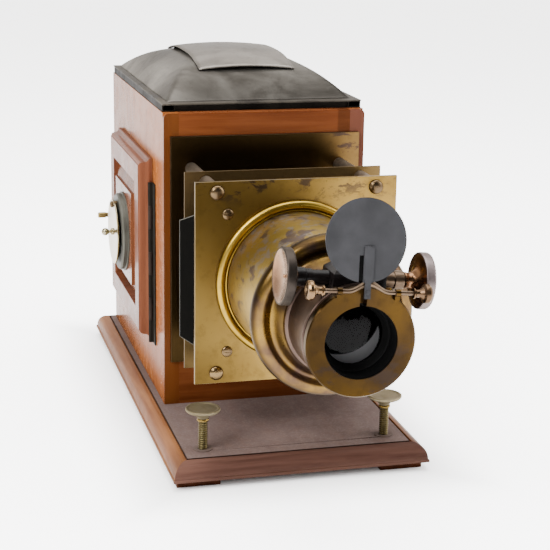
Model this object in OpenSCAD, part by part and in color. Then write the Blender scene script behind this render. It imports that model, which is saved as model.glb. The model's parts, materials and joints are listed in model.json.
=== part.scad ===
// Magic lantern: a mahogany lamp house with a sheet metal roof, a brass slide stage,
// a rack focused lens in a brass tube and a swing flasher, on a moulded base.
// X is to the right seen from the lens, Y runs back from the front board, Z is up.
// The origin is on the standing plane, under the point where the lens axis meets the front board.
// "Forward" below is the distance in front of the front board, that is -Y.

/* [Base] */
// Width of the flat top of the base board
base_w = 172.8; // [168:0.4:180]
// How far the flat top runs in front of the front board
base_front = 118.6; // [112:0.2:130]
// How far the flat top runs behind the front board
base_back = 257.7; // [257:0.2:270]
// Height of the base board's top above the standing plane
base_top = 20.4; // [18:0.2:24]
// Height of the feet
foot_h = 6; // [4:0.5:8]
// Width of the moulding round the base
moulding_w = 12.3; // [8:0.1:16]

/* [Lamp house] */
// Outside width of the lamp house
house_w = 162.2; // [158:0.2:166]
// Outside length of the lamp house
house_l = 255.6; // [250:0.2:256]
// Top edge of the wooden walls
house_top = 256.7; // [252:0.1:262]
// Thickness of the wooden walls
wall = 12; // [10:0.5:12]

/* [Roof] */
// Rise of the sheet metal roof over its rim
roof_rise = 28.4; // [24:0.2:34]
// Thickness of the roof's sheet metal
sheet = 1; // [0.8:0.1:1.4]

/* [Stage] */
// Height of the lens axis above the standing plane
axis_z = 145.8; // [140:0.2:150]
// Side of the square front and middle plates
plate_w = 152.4; // [148:0.2:154]
// Forward distance of the front plate's front face
front_plate_d = 96.2; // [92:0.2:100]
// Forward distance of the middle plate's front face
middle_plate_d = 57.5; // [54:0.5:60]

/* [Lens] */
// Outside radius of the front tube
tube_r = 52.5; // [51:0.1:53]
// Forward distance of the hood's front face
hood_d = 254; // [250:0.5:256]
// Radius of the hood's opening
hood_bore_r = 24.6; // [22:0.1:25]
// Lean of the lens mount, clockwise seen from the lens
lean = 4.9; // [0:0.1:8]
// Radius of the focusing knobs
knob_r = 19; // [16:0.5:20]
// Radius of the flasher's disc
flasher_r = 27; // [26:0.2:28]

/* [Door] */
// Length of the door's frame along the house
door_l = 146; // [140:1:148]
// Height of the door's frame
door_h = 140; // [136:1:142]

/* [Hidden] */
$fn = 64;
fit = 0.05;

house_x = house_w / 2;
inner_x = house_x - wall;
base_mid_y = (base_back - base_front) / 2;

// ---- helpers ----

// Children are drawn in a frame with +Z forward along the lens axis and Y up.
module along_lens() {
    translate([0, 0, axis_z]) rotate([90, 0, 0]) children();
}

// The same, leaning with the lens mount.
module lens_mount() {
    translate([0, 0, axis_z]) rotate([0, lean, 0]) rotate([90, 0, 0]) children();
}

// A solid of revolution about the local Z axis from [radius, distance] points.
module turned(points) {
    rotate_extrude() polygon(points);
}

module ring(r_in, r_out, d0, d1) {
    turned([[r_in, d0], [r_out, d0], [r_out, d1], [r_in, d1]]);
}

// A bar along the local X axis.
module bar_x(r, x0, x1) {
    translate([x0, 0, 0]) rotate([0, 90, 0]) cylinder(r = r, h = x1 - x0);
}

// A block between two values on each axis.
module box(x0, x1, y0, y1, z0, z1) {
    translate([x0, y0, z0]) cube([x1 - x0, y1 - y0, z1 - z0]);
}

module both_sides() {
    children();
    mirror([1, 0, 0]) children();
}

module four_corners(x, y) {
    for (sx = [-1, 1], sy = [-1, 1]) translate([sx * x, sy * y, 0]) children();
}

// Four strips with mitred corners round a rectangle of x_in by y_in. The child is the
// section: X outwards from 0 to width, Y up to height.
module mitred_frame(x_in, y_in, width, height) {
    for (k = [0 : 3]) {
        out = (k % 2 == 0 ? x_in : y_in) / 2;
        half = (k % 2 == 0 ? y_in : x_in) / 2;
        rotate([0, 0, 90 * k]) translate([out, 0, 0]) intersection() {
            translate([0, half + width, 0]) rotate([90, 0, 0])
                linear_extrude(2 * (half + width)) children();
            linear_extrude(height)
                polygon([[0, -half], [width, -half - width], [width, half + width], [0, half]]);
        }
    }
}

// Round arc of points from angle a0 to a1.
function arc(cx, cy, r, a0, a1, n = 8) =
    [for (i = [0 : n]) let (a = a0 + (a1 - a0) * i / n) [cx + r * cos(a), cy + r * sin(a)]];

// ---- base ----

screw_x = 71;
screw_y = -101.2;
screw_r = 3.55;
bush_r = 6.2;

module base_board() {
    color("#7d6a62") difference() {
        box(-base_w / 2, base_w / 2, -base_front, base_back, foot_h, base_top);
        for (s = [-1, 1]) translate([s * screw_x, screw_y, 0]) cylinder(r = bush_r, h = 40);
    }
}

// Thumb moulding: a small fillet at the top, a rounded slope and a square lip below.
function base_section() = let (h = base_top - foot_h, w = moulding_w) concat(
    [[0, 0], [w - 1, 0], [w, 1.2], [w - 0.6, 2.6]],
    [for (i = [1 : 8]) let (t = i / 8)
        [w - 0.8 - (w - 2.4) * (1 - cos(90 * t)), 3 + (h - 3) * sin(90 * t)]],
    [[0, h]]);

module base_moulding() {
    color("#8a5a3c") translate([0, base_mid_y, foot_h])
        mitred_frame(base_w, base_front + base_back, moulding_w, base_top - foot_h)
            polygon(base_section());
}

foot_w = 33;

module base_feet() {
    color("#6b4a38") difference() {
        translate([0, base_mid_y, 0])
            four_corners(78.5, (base_front + base_back) / 2 - 12) translate([-foot_w / 2, -foot_w / 2, 0])
                cube([foot_w, foot_w, foot_h]);
        for (s = [-1, 1]) translate([s * screw_x, screw_y, -1]) cylinder(r = screw_r + 1, h = 20);
    }
}

module screw_bushes() {
    color("#8c7b45") for (s = [-1, 1]) translate([s * screw_x, screw_y, 0]) difference() {
        union() {
            translate([0, 0, foot_h]) cylinder(r = bush_r, h = base_top - foot_h);
            translate([0, 0, base_top]) cylinder(r = bush_r + 1, h = 0.6);
        }
        cylinder(r = screw_r + fit, h = 40);
    }
}

// ---- lamp house ----

door_mid_y = 128;
door_mid_z = 137;
opening_l = 124;
opening_h = 120;

// Side boards have their top edge eased at the front corner.
module side_board() {
    difference() {
        box(inner_x, house_x, 0, house_l, base_top, house_top);
        translate([house_x - 4, -1, house_top - 4]) rotate([-90, 0, 0]) difference() {
            translate([0, -5, 0]) cube([5, 5, 6]);
            cylinder(r = 4, h = 20, center = true);
        }
    }
}

module side_board_left() {
    color("#b06a3c") difference() {
        mirror([1, 0, 0]) side_board();
        box(-house_x - 1, -inner_x + 1, door_mid_y - opening_l / 2, door_mid_y + opening_l / 2,
            door_mid_z - opening_h / 2, door_mid_z + opening_h / 2);
    }
}

module side_board_right() {
    color("#9a5a36") side_board();
}

stile_w = 9.8;
rail_top_h = 24.7;
rail_bottom_h = 26;

module front_rails() {
    top = house_top - rail_top_h;
    bottom = base_top + rail_bottom_h;
    color("#a2592e") {
        both_sides() box(inner_x - stile_w, inner_x, 0, wall, base_top, house_top);
        box(-inner_x + stile_w, inner_x - stile_w, 0, wall, top, house_top);
        box(-inner_x + stile_w, inner_x - stile_w, 0, wall, base_top, bottom);
    }
}

cell_r = 54;

module front_panel() {
    color("#8f4d2a") difference() {
        box(-inner_x + stile_w, inner_x - stile_w, 0, wall,
            base_top + rail_bottom_h, house_top - rail_top_h);
        along_lens() cylinder(r = cell_r + 1, h = 60, center = true);
    }
}

module back_frame() {
    color("#7d4527") {
        both_sides() box(inner_x - 14, inner_x, house_l - wall, house_l, base_top, house_top);
        box(-inner_x + 14, inner_x - 14, house_l - wall, house_l, house_top - 32, house_top);
    }
}

lining_x = 63.8;
lining_t = 0.8;

module tin_lining() {
    y0 = wall + 6;
    y1 = house_l - wall - 1;
    z0 = base_top + 8;
    color("#3c3a38") {
        difference() {
            box(-lining_x, lining_x, y0, y1, z0, house_top - 1);
            box(-lining_x + lining_t, lining_x - lining_t, y0 + lining_t, y1 + 1, z0 - 1, house_top + 1);
            along_lens() cylinder(r = cell_r + 2, h = 60, center = true);
            box(-lining_x - 1, 0, door_mid_y - opening_l / 2, door_mid_y + opening_l / 2,
                door_mid_z - opening_h / 2, door_mid_z + opening_h / 2);
        }
        // folded spacing strips that stand the lining off the walls
        both_sides() for (y = [y0 + 6, y1 - 12]) box(lining_x, inner_x, y, y + 6, z0, z0 + 40);
    }
}

module tray_runners() {
    color("#6e4a30") both_sides()
        box(43, 53, wall, house_l - 1, base_top, base_top + 7);
}

// ---- slide stage ----

back_plate_t = 3.2;
back_plate_z0 = 56.8;
back_plate_z1 = 239.2;
thin_t = 2;
front_plate_t = 3;
pillar_x = 60;
pillar_z = 68.2;
pillar_r = 5;
pin_x = 52;
pin_r = 2.5;

module plate(side, d0, d1) {
    along_lens() translate([-side / 2, -side / 2, d0]) cube([side, side, d1 - d0]);
}

module back_plate() {
    color("#5a4526") difference() {
        box(-plate_w / 2, plate_w / 2, -back_plate_t, 0, back_plate_z0, back_plate_z1);
        along_lens() cylinder(r = cell_r, h = 60, center = true);
    }
}

module middle_plate() {
    color("#6a5430") difference() {
        plate(plate_w, middle_plate_d - thin_t, middle_plate_d);
        along_lens() cylinder(r = 48, h = 80);
        along_lens() four_corners(pin_x, pin_x) cylinder(r = pin_r, h = 80);
    }
}

module front_plate() {
    color("#a98a4c") difference() {
        plate(plate_w, front_plate_d - front_plate_t, front_plate_d);
        along_lens() cylinder(r = tube_r, h = 200);
    }
}

module stage_pillars() {
    color("#8a6a3a") along_lens() four_corners(pillar_x, pillar_z) {
        translate([0, 0, back_plate_t]) cylinder(r = pillar_r, h = middle_plate_d - thin_t - back_plate_t);
        translate([0, 0, middle_plate_d])
            cylinder(r = pillar_r, h = front_plate_d - front_plate_t - middle_plate_d);
    }
}

module screw_dome(r, h) {
    turned(concat([[0, 0], [r, 0]], [for (a = [0 : 15 : 90]) [r * cos(a), 0.6 + (h - 0.6) * sin(a)]]));
}

module pillar_heads() {
    color("#9a7c46") along_lens() translate([0, 0, front_plate_d])
        four_corners(pillar_x, pillar_z) screw_dome(5.4, 3.4);
}

module guide_pins() {
    color("#6f6a60") along_lens() four_corners(pin_x, pin_x)
        translate([0, 0, middle_plate_d - thin_t])
            cylinder(r = pin_r, h = front_plate_d - front_plate_t - middle_plate_d + thin_t);
}

module guide_screws() {
    color("#b59448") along_lens() translate([0, 0, front_plate_d])
        four_corners(pin_x, pin_x) difference() {
            screw_dome(4.1, 2);
            translate([-5, -0.5, 1.3]) cube([10, 1, 2]);
        }
}

pressure_t = 1.6;
// Rest gap between the sprung plate and the front plate
stage_gap = 5.2;
pressure_d = front_plate_d - front_plate_t - stage_gap;
pressure_x = 70;
pressure_z = 57;
lip_x = 83.4;
lip_z = 44.5;
lip_back = 12;

// Side lip: leans away from the front plate and narrows to its edge.
module pressure_lip() {
    run = lip_x - pressure_x;
    intersection() {
        translate([0, 0, -60]) linear_extrude(120)
            polygon([[pressure_x, -52], [lip_x, -lip_z], [lip_x, lip_z], [pressure_x, 52]]);
        rotate([90, 0, 0]) linear_extrude(120, center = true)
            polygon([[pressure_x, -pressure_t], [pressure_x + run, -lip_back - pressure_t],
                [pressure_x + run, -lip_back], [pressure_x, 0]]);
    }
}

module pressure_plate() {
    color("#1f1f20") along_lens() translate([0, 0, pressure_d]) difference() {
        union() {
            translate([-pressure_x, -pressure_z, -pressure_t])
                cube([2 * pressure_x, 2 * pressure_z, pressure_t]);
            both_sides() pressure_lip();
        }
        cylinder(r = 48, h = 20, center = true);
        four_corners(pin_x, pin_x) cylinder(r = pin_r + fit, h = 20, center = true);
        // clear of the stage pillars at the corners
        four_corners(pillar_x, pillar_z) cylinder(r = 12.5, h = 20, center = true);
    }
}

// Close coiled springs on the guide pins, drawn as their coiled outer shape.
module stage_springs() {
    d0 = middle_plate_d;
    len = pressure_d - pressure_t - d0 - 0.1;
    turns = 12;
    step = len / turns;
    outer = [for (i = [0 : turns - 1], a = [-60 : 30 : 60])
        [4.2 + 0.7 * cos(a), d0 + step * (i + 0.5) + step * 0.5 * sin(a)]];
    color("#8d8878") along_lens() four_corners(pin_x, pin_x)
        turned(concat([[3.3, d0], [4.4, d0]], outer, [[4.4, d0 + len], [3.3, d0 + len]]));
}

// ---- condenser ----

cell_wall = 2.4;
lens_r = 50.8;
cell_d0 = -16;
cell_d1 = 53;

module condenser_cell() {
    color("#7a6434") along_lens() {
        ring(cell_r - cell_wall, cell_r, cell_d0, cell_d1);
        ring(cell_r, cell_r + 5, back_plate_t, back_plate_t + 2);
    }
}

// Plano-convex lens between its flat face and its vertex, with a square edge.
module plano_convex(r, edge, sag, sign) {
    R = (r * r + sag * sag) / (2 * sag);
    half = asin(r / R);
    curve = [for (i = [0 : 8]) let (a = half * (1 - i / 8))
        [R * sin(a), sign * (edge + sag - R + R * cos(a))]];
    turned(concat([[0, 0], [r, 0]], curve));
}

rear_flat_d = 11;
front_flat_d = 49;
lens_edge = 3;
lens_sag = 15;

module condenser_lens_rear() {
    color("#b8ccd0", 0.6) along_lens() translate([0, 0, rear_flat_d])
        plano_convex(lens_r, lens_edge, lens_sag, 1);
}

module condenser_lens_front() {
    color("#b8ccd0", 0.6) along_lens() translate([0, 0, front_flat_d])
        plano_convex(lens_r, lens_edge, lens_sag, -1);
}

module condenser_rings() {
    r1 = cell_r - cell_wall;
    spacer_0 = rear_flat_d + lens_edge;
    spacer_1 = front_flat_d - lens_edge;
    color("#8d7440") along_lens() {
        ring(lens_r - 2.5, r1, rear_flat_d - 3, rear_flat_d);
        turned([[lens_r, spacer_0], [r1, spacer_0], [r1, spacer_1], [lens_r, spacer_1],
            [lens_r - 0.9, spacer_1 - 0.8], [lens_r - 0.9, spacer_0 + 0.8]]);
        ring(lens_r - 2.5, r1, front_flat_d, front_flat_d + 3);
    }
}

// ---- front tube ----

shoulder_d0 = 177;
jacket_r = 35.5;
jacket_bore_r = 32.3;

module tube_flange() {
    d = front_plate_d;
    color("#b8953f") along_lens() turned(concat(
        [[tube_r, d], [60.9, d]],
        arc(58.9, d + 2.4, 2, 0, 120, 6),
        [[57, d + 2.6], [56.6, d + 2.6]],
        arc(54.9, d + 3.6, 1.8, 60, 150, 5),
        [[tube_r, d + 3.6]]));
}

module front_tube() {
    color("#a8935a") along_lens()
        ring(tube_r - 1.6, tube_r, front_plate_d - front_plate_t, shoulder_d0 + 8);
}

// Spun shoulder: a full round rim, a hollow, and a raised seat for the jacket.
module tube_shoulder() {
    seat_r = 37.3;
    rim = arc(48.6, 188.6, 9, -55, 95, 12);
    rim_end = rim[len(rim) - 1];
    hollow = [for (i = [1 : 8]) let (t = i / 8)
        [rim_end[0] - (rim_end[0] - seat_r - 1.1) * t, rim_end[1] - 2 * (1 - cos(360 * t))]];
    color("#84602f") along_lens() turned(concat(
        [[jacket_r, 203], [jacket_r, 189.5], [tube_r - 1.6, 189.5], [tube_r - 1.6, shoulder_d0 + 8],
            [tube_r, shoulder_d0 + 8], [tube_r, shoulder_d0], [tube_r + 1.6, shoulder_d0]],
        rim, hollow, [[seat_r, 200], [seat_r, 203]]));
}

module lens_jacket() {
    color("#7b5a3a") lens_mount() difference() {
        turned([[jacket_bore_r, 150], [jacket_r, 150], [jacket_r, 203], [37.4, 203], [37.4, 204.2],
            [36.6, 205], [jacket_r, 205.4], [jacket_r, 239], [36.4, 239.8], [36.4, 242],
            [jacket_r, 242.6], [jacket_bore_r, 242.6]]);
        // keyway for the rack, window for the pinion and channel for its shaft
        translate([-3.6, 30, 140]) cube([7.2, 3.2, 120]);
        translate([-4, 30, pinion_d - 6]) cube([8, 10, 12]);
        translate([0, pinion_h, pinion_d]) bar_x(shaft_r + 0.4, -20, 20);
    }
}

// ---- focusing ----

pinion_d = 225.4;
pinion_h = 35.4;
gear_module = 0.6;
gear_teeth = 12;
pitch_r = gear_module * gear_teeth / 2;
tooth_pitch = PI * gear_module;
shaft_r = 2.2;
housing_x = 18;
sleeve_x = 33.6;

module at_pinion() {
    lens_mount() translate([0, pinion_h, pinion_d]) children();
}

module pinion_housing() {
    color("#26231f") difference() {
        union() {
            lens_mount() intersection() {
                translate([-housing_x, 26, pinion_d - 12.5]) cube([2 * housing_x, 19, 25]);
                // chamfered top edges on all four sides
                translate([0, 0, pinion_d]) rotate([0, 90, 0]) linear_extrude(60, center = true)
                    polygon([[-12.5, 26], [12.5, 26], [12.5, 40.8], [8.5, 44.6], [-8.5, 44.6], [-12.5, 40.8]]);
                translate([0, 0, pinion_d - 20]) linear_extrude(40)
                    polygon([[-housing_x, 26], [housing_x, 26], [housing_x, 40.8],
                        [housing_x - 4, 44.6], [-housing_x + 4, 44.6], [-housing_x, 40.8]]);
            }
            at_pinion() both_sides() {
                bar_x(5, housing_x - 1, sleeve_x - 4);
                bar_x(5.6, sleeve_x - 4, sleeve_x);
            }
        }
        lens_mount() cylinder(r = jacket_r, h = 260);
        at_pinion() bar_x(shaft_r + fit, -60, 60);
        at_pinion() bar_x(pitch_r + 1.1, -4.2, 4.2);
    }
}

// Pinion with straight flanked teeth: a gap points straight at the rack.
module focus_pinion() {
    root = pitch_r - 0.78;
    tip = pitch_r + 0.5;
    color("#a58a4a") at_pinion() {
        bar_x(shaft_r, -47, 47);
        translate([-3, 0, 0]) rotate([0, 90, 0]) linear_extrude(6) union() {
            circle(r = root);
            for (k = [0 : gear_teeth - 1]) rotate(360 / gear_teeth * (k + 0.5))
                polygon([[root - 0.2, -0.52], [pitch_r, -0.36], [tip, -0.16],
                    [tip, 0.16], [pitch_r, 0.36], [root - 0.2, 0.52]]);
        }
    }
}

rack_d0 = 170;
rack_d1 = 240;

module focus_rack() {
    line = pinion_h - pitch_r;
    count = floor((rack_d1 - rack_d0 - 2) / tooth_pitch / 2);
    color("#a58a4a") lens_mount() {
        translate([-3, 30.1, rack_d0]) cube([6, line - 0.72 - 30.1, rack_d1 - rack_d0]);
        for (k = [-count : count]) {
            d = pinion_d + k * tooth_pitch;
            if (d > rack_d0 + 1 && d < rack_d1 - 1)
                translate([-3, 0, d]) rotate([0, 90, 0]) linear_extrude(6)
                    polygon([[-0.62, line - 0.74], [0.62, line - 0.74],
                        [0.22, line + 0.48], [-0.22, line + 0.48]]);
        }
    }
}

// Dished thumb knob with a bell shaped inner side, turned about the pinion shaft.
module focus_knobs() {
    x0 = sleeve_x + 0.8;
    x1 = 50.6;
    rim = x1 - 6.2;
    outline = concat(
        [[shaft_r, x0], [5.4, x0], [5.2, x0 + 2.4]],
        [for (i = [1 : 7]) let (a = 90 * i / 8)
            [knob_r - 0.8 - (knob_r - 6) * cos(a), x0 + 2.4 + (rim - x0 - 2.4) * sin(a)]],
        [[knob_r - 0.6, rim], [knob_r, rim + 0.8], [knob_r, x1 - 1], [knob_r - 0.8, x1], [knob_r - 1.6, x1]],
        [for (i = [1 : 6]) let (t = i / 6) [(knob_r - 1.6) * (1 - t) + 1.4 * t, x1 - 1.8 * sin(90 * t)]],
        [[1.2, x1 - 1], [0, x1 - 0.4], [0, x1 - 3], [shaft_r, x1 - 3]]);
    color("#7a5f42") at_pinion() both_sides() rotate([0, 90, 0]) turned(outline);
}

// ---- sliding lens ----

lens_tube_r = 32;
hood_back = hood_d - 9.6;

module lens_tube() {
    color("#8a7040") lens_mount() difference() {
        union() {
            ring(30, lens_tube_r, 165, hood_back);
            // seat of the front glass
            ring(20, 30.2, 229, 233);
            ring(28, 30.2, 172, 174);
        }
        translate([-3, 29, rack_d0]) cube([6, 6, rack_d1 - rack_d0]);
    }
}

module lens_hood() {
    color("#8c6a3c") lens_mount() difference() {
        turned([[hood_bore_r, 237], [30, 237], [30, hood_back], [35.8, hood_back], [36, hood_back + 1.4],
            [34.8, hood_back + 1.8], [34.8, hood_back + 2.8], [36.6, hood_back + 3.2], [37, hood_back + 4],
            [37, hood_d - 1], [36.2, hood_d], [hood_bore_r, hood_d]]);
        // gate for the flasher's tail
        translate([stem_x - 2.3, 20, hood_d - 8]) cube([4.6, 20, 12]);
    }
}

module front_lens() {
    color("#20262a") lens_mount() {
        R = 84;
        edge_r = 21.5;
        cap = [for (i = [0 : 6]) let (a = asin(edge_r / R) * (1 - i / 6))
            [R * sin(a), 236.6 + R * cos(a) - R]];
        turned(concat([[0, 233], [24.4, 233], [24.4, 234.6], [edge_r + 1, 234.6]], cap));
    }
}

module rear_lens() {
    color("#20262a") lens_mount() {
        translate([0, 0, 174]) plano_convex(29.8, 2, 6, 1);
    }
}

// ---- flasher ----

rod_d = 256.8;
rod_h = 34.8;
rod_r = 1.5;
lug_x = 19.5;
bow_rise = 5.2;
flasher_tilt = 12;
nut_x = 30;
// Sideways place of the flasher's stem and of the hood's gate for it
stem_x = -1.8;

module at_rod() {
    lens_mount() translate([0, rod_h, rod_d]) children();
}

module flasher_lugs() {
    color("#86663c") difference() {
        at_rod() both_sides() {
            bar_x(2.4, lug_x - 1.6, lug_x + 1.6);
            translate([lug_x - 1.6, -5, -8]) cube([3.2, 5.6, 8.6]);
        }
        at_rod() bar_x(rod_r + fit, -40, 40);
        // fitted round the hood
        lens_mount() cylinder(r = 37, h = hood_d);
        lens_mount() translate([0, 0, hood_d - 1]) cylinder(r = 25, h = 20);
    }
}

// The rod rises in a bow between its two bearings, in four equal bends.
bow_x = 14;
bow_turn = 2 * atan(bow_rise / bow_x);
bow_r = bow_x / sin(bow_turn) / 2;

// One bend of the rod about a centre at height y, from angle a0 over a sweep.
module rod_bend(x, y, a0, sweep) {
    far = 2 * bow_r;
    translate([x, y, 0]) intersection() {
        rotate_extrude() translate([bow_r, 0]) circle(r = rod_r);
        translate([0, 0, -4]) linear_extrude(8)
            polygon([[0, 0], [far * cos(a0), far * sin(a0)],
                [far * cos(a0 + sweep / 2), far * sin(a0 + sweep / 2)],
                [far * cos(a0 + sweep), far * sin(a0 + sweep)]]);
    }
}

module flasher_rod() {
    color("#8f8478") at_rod() rotate([-flasher_tilt, 0, 0]) {
        both_sides() {
            bar_x(rod_r, bow_x, nut_x);
            rod_bend(bow_x, bow_r, -90 - bow_turn, bow_turn);
        }
        rod_bend(0, bow_rise - bow_r, 90 - bow_turn, 2 * bow_turn);
    }
}

module flasher_nuts() {
    outline = [[0, nut_x], [3.4, nut_x], [3.4, nut_x + 0.8], [2.5, nut_x + 1.6], [2.6, nut_x + 4],
        [4.2, nut_x + 6.4], [6.2, nut_x + 7.4], [6.4, nut_x + 8.2], [6.4, nut_x + 10],
        [5.6, nut_x + 11.2], [4, nut_x + 11.4], [0, nut_x + 10.6]];
    color("#8a6f4c") at_rod() both_sides() rotate([0, 90, 0]) turned(outline);
}

// Blackened disc on a riveted stem in front of the rod, with a slot beside the stem.
module flasher_disc() {
    t = 1;
    centre = 32.8;
    slot_w = 3;
    slot_top = 23;
    color("#55585a") at_rod() rotate([-flasher_tilt, 0, 0]) translate([stem_x, 0, rod_r]) {
        difference() {
            translate([-2.1, centre, 0]) cylinder(r = flasher_r, h = t);
            translate([-3.2 - slot_w, 0, -1]) cube([slot_w, slot_top, 4]);
        }
        linear_extrude(t + 0.9)
            polygon([[-1.9, -4.4], [1.9, -4.4], [1.9, 6], [3.5, 10],
                [3.5, 29], [-3.2, 29], [-3.2, 10], [-1.9, 6]]);
        translate([0, -0.4, t + 0.9]) screw_dome(1.3, 0.8);
    }
}

// ---- roof ----

rim_z = house_top + 6.3;
dome_x = 75;
dome_y = 118.5;
dome_mid_y = 137;
// Fullness of the dome across and along the house: 1 is straight, more is fuller
arch_across = 3.4;
arch_along = 2.2;
flange_x = 80.5;
roof_front = 8;
roof_back = 257;
cap_x = 40;
cap_y = 69;
cap_mid_y = 132.5;
cap_gap = 3;

module arch_section(half, power) {
    n = 24;
    polygon(concat([[-half, -20]],
        [for (i = [0 : n]) let (s = 2 * i / n - 1) [s * half, roof_rise * (1 - pow(abs(s), power))]],
        [[half, -20]]));
}

// Two arches crossed, which meet in four hips.
module vault(half_x, half_y) {
    intersection() {
        rotate([90, 0, 0]) linear_extrude(2 * half_y, center = true) arch_section(half_x, arch_across);
        rotate([90, 0, 90]) linear_extrude(2 * half_x, center = true) arch_section(half_y, arch_along);
        translate([-half_x, -half_y, 0]) cube([2 * half_x, 2 * half_y, 90]);
    }
}

module at_roof() {
    translate([0, dome_mid_y, rim_z]) children();
}

module roof_dome() {
    color("#6d6962") at_roof() difference() {
        vault(dome_x, dome_y);
        translate([0, 0, -sheet]) vault(dome_x - sheet, dome_y - sheet);
        // hot air leaves under the cap
        translate([-28, cap_mid_y - dome_mid_y - 50, 0]) cube([56, 100, 90]);
    }
}

module roof_frame() {
    skirt_x = inner_x + 1;
    color("#57534d") {
        difference() {
            box(-flange_x, flange_x, roof_front, roof_back, rim_z - sheet, rim_z);
            box(-dome_x + 2, dome_x - 2, dome_mid_y - dome_y + 2, dome_mid_y + dome_y - 2, 0, 400);
        }
        // side channels that stand on the walls
        both_sides() difference() {
            box(skirt_x, flange_x, roof_front + 2, roof_back - 4, house_top, rim_z - sheet);
            box(skirt_x + 1, flange_x - 1, 0, 300, house_top + 1, rim_z - sheet);
        }
        // skirts across the front and back
        for (y = [roof_front + 3, roof_back - 7])
            box(-skirt_x - 0.5, skirt_x + 0.5, y, y + 1, house_top, rim_z - sheet / 2);
    }
}

module roof_cap() {
    t = 1.2;
    color("#77736b") intersection() {
        box(-cap_x, cap_x, cap_mid_y - cap_y, cap_mid_y + cap_y, rim_z, rim_z + 90);
        at_roof() difference() {
            translate([0, 0, cap_gap + t]) vault(dome_x, dome_y);
            translate([0, 0, cap_gap]) vault(dome_x, dome_y);
        }
    }
}

module cap_posts() {
    color("#4a4742") difference() {
        translate([0, cap_mid_y, rim_z]) four_corners(34, 58) cylinder(r = 2, h = 60);
        at_roof() vault(dome_x, dome_y);
        at_roof() translate([0, 0, cap_gap]) difference() {
            translate([-60, -100, 0]) cube([120, 200, 90]);
            translate([0, 0, -0.01]) vault(dome_x, dome_y);
        }
    }
}

// ---- door ----

door_gap = 0.3;
door_t = 11;
frame_w = 17;
door_edge = 5.8;
panel_l = door_l - 2 * frame_w;
panel_h = door_h - 2 * frame_w;
field_l = 82;
field_h = 79;

// Door frame of reference: X up, Y along the house, Z out of the side.
module on_door() {
    translate([-house_x - door_gap, door_mid_y, door_mid_z]) rotate([0, -90, 0]) children();
}

latch_y = 59;

module door_frame() {
    color("#a9663f") on_door() difference() {
        translate([-door_h / 2, -door_l / 2, 0]) cube([door_h, door_l, door_t]);
        translate([-panel_h / 2, -panel_l / 2, -1]) cube([panel_h, panel_l, 20]);
        translate([0, latch_y, -1]) cylinder(r = 1.6 + fit, h = 20);
    }
}

module door_moulding() {
    w = door_edge;
    color("#9c6042") on_door() mitred_frame(door_h, door_l, w, door_t)
        polygon(concat([[0, 0], [w, 0], [w, 2.6]],
            [for (i = [0 : 5]) let (a = 90 * i / 5) [w - 0.6 - 2.6 * sin(a), 6.4 - 3.4 * cos(a)]],
            [for (i = [1 : 5]) let (a = 90 * i / 5) [w - 3.2 - 1.8 * (1 - cos(a)), 6.8 + 3.4 * sin(a)]],
            [[0, door_t - 0.6]]));
}

module wedge(low, high, z0, z1) {
    polygon([[-low / 2, z0 - 20], [low / 2, z0 - 20], [low / 2, z0],
        [high / 2, z1], [-high / 2, z1], [-low / 2, z0]]);
}

module door_panel() {
    color("#b5714b") on_door() difference() {
        union() {
            translate([-panel_h / 2, -panel_l / 2, 1]) cube([panel_h, panel_l, 3.6]);
            intersection() {
                rotate([90, 0, 0]) linear_extrude(200, center = true) wedge(panel_h, field_h + 2, 4.6, 9.4);
                rotate([90, 0, 90]) linear_extrude(200, center = true) wedge(panel_l, field_l + 2, 4.6, 9.4);
                translate([-100, -100, 4.6]) cube([200, 200, 30]);
            }
            translate([-field_h / 2, -field_l / 2, 4]) cube([field_h, field_l, 7.6]);
        }
        translate([sight_x, 0, -1]) cylinder(r = sight_r, h = 30);
    }
}

hinge_out = 2.3;
hinge_y = -door_l / 2 - door_edge - 2;
hinge_r = 1.8;
hinge_z0 = -78;
hinge_z1 = 57;
knuckles = 7;
knuckle = (hinge_z1 - hinge_z0) / knuckles;

// Children at the hinge line, with the local Z axis along the pin.
module on_hinge(i) {
    on_door() translate([hinge_z0 + knuckle * i + 0.15, hinge_y, hinge_out]) rotate([0, 90, 0]) children();
}

module knuckle_tube() {
    difference() {
        cylinder(r = hinge_r, h = knuckle - 0.3);
        translate([0, 0, -1]) cylinder(r = 0.9 + fit, h = knuckle + 2);
    }
}

module door_hinge_leaf() {
    color("#2a2724") for (i = [1 : 2 : knuckles - 1]) difference() {
        union() {
            on_hinge(i) cylinder(r = hinge_r, h = knuckle - 0.3);
            on_door() translate([hinge_z0 + knuckle * i + 0.15, hinge_y + 1.1, 0.6])
                cube([knuckle - 0.3, 0.9, 2]);
        }
        on_hinge(i) translate([0, 0, -1]) cylinder(r = 0.9 + fit, h = knuckle + 2);
    }
}

module body_hinge_leaf() {
    color("#2a2724") difference() {
        union() {
            for (i = [0 : 2 : knuckles - 1]) {
                on_hinge(i) cylinder(r = hinge_r, h = knuckle - 0.3);
                on_door() translate([hinge_z0 + knuckle * i + 0.15, hinge_y - 2, -door_gap])
                    cube([knuckle - 0.3, 2, 2]);
            }
            on_door() translate([hinge_z0, hinge_y - 11, -door_gap]) cube([hinge_z1 - hinge_z0, 9, 1]);
        }
        on_hinge(0) translate([0, 0, -1]) cylinder(r = 0.9, h = 200);
    }
}

module hinge_pin() {
    color("#55504a") on_hinge(0) cylinder(r = 0.9, h = hinge_z1 - hinge_z0 - 0.3);
}

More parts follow.
